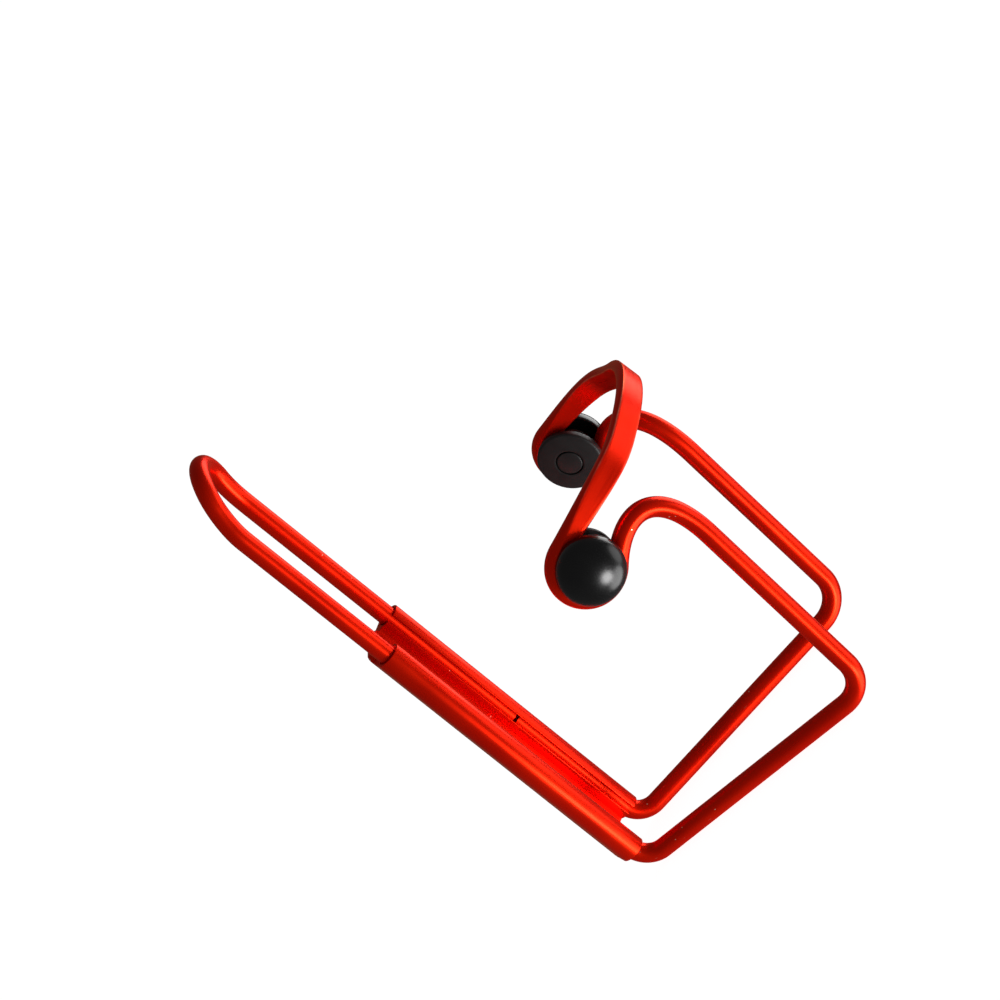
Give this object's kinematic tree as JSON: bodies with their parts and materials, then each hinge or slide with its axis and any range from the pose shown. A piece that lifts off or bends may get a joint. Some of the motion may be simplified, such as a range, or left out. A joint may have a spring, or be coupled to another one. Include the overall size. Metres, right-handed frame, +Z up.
{
  "type": "water bottle cage",
  "caption": "Bicycle bottle cage of bent round alloy rod with a flattened front hoop, a tall neck loop, a slotted back plate with rolled channels, and round side grips.",
  "frame": {"origin": "on the mounting plate's flat back, midway between its two slots and on the cage's plane of symmetry", "axes": "+Z up along the bottle towards its mouth; +Y out of the plate's back, into the bicycle's tube; the cage opens towards -Y; +X is the cage's right seen from its front, looking along +Y"},
  "size_m": [0.0838, 0.0961, 0.1556],
  "materials": {
    "frame_finish": "red anodised, satin with fine drawn grain",
    "plate_finish": "red anodised extrusion, satin",
    "grip_cap": "black, moulded, soft gloss",
    "grip_pad": "black, matt",
    "grip_stud": "black nylon"
  },
  "bodies": {
    "cage": {"frame_tube": "frame_finish", "neck_loop_tube": "frame_finish", "mounting_plate": "plate_finish"},
    "left_grip": {"left_grip_cap": "grip_cap", "left_grip_pad": "grip_pad", "left_grip_stud": "grip_stud"},
    "right_grip": {"right_grip_cap": "grip_cap", "right_grip_pad": "grip_pad", "right_grip_stud": "grip_stud"}
  },
  "joints": [
    {"name": "left_grip_spin", "type": "hinge", "parent": "cage", "child": "left_grip", "pos_m": [-0.0365, -0.06355, 0.03005], "axis": [-0.9659, -0.2588, 0], "continuous": true},
    {"name": "right_grip_spin", "type": "hinge", "parent": "cage", "child": "right_grip", "pos_m": [0.0365, -0.06355, 0.03005], "axis": [0.9659, -0.2588, 0], "continuous": true}
  ]
}
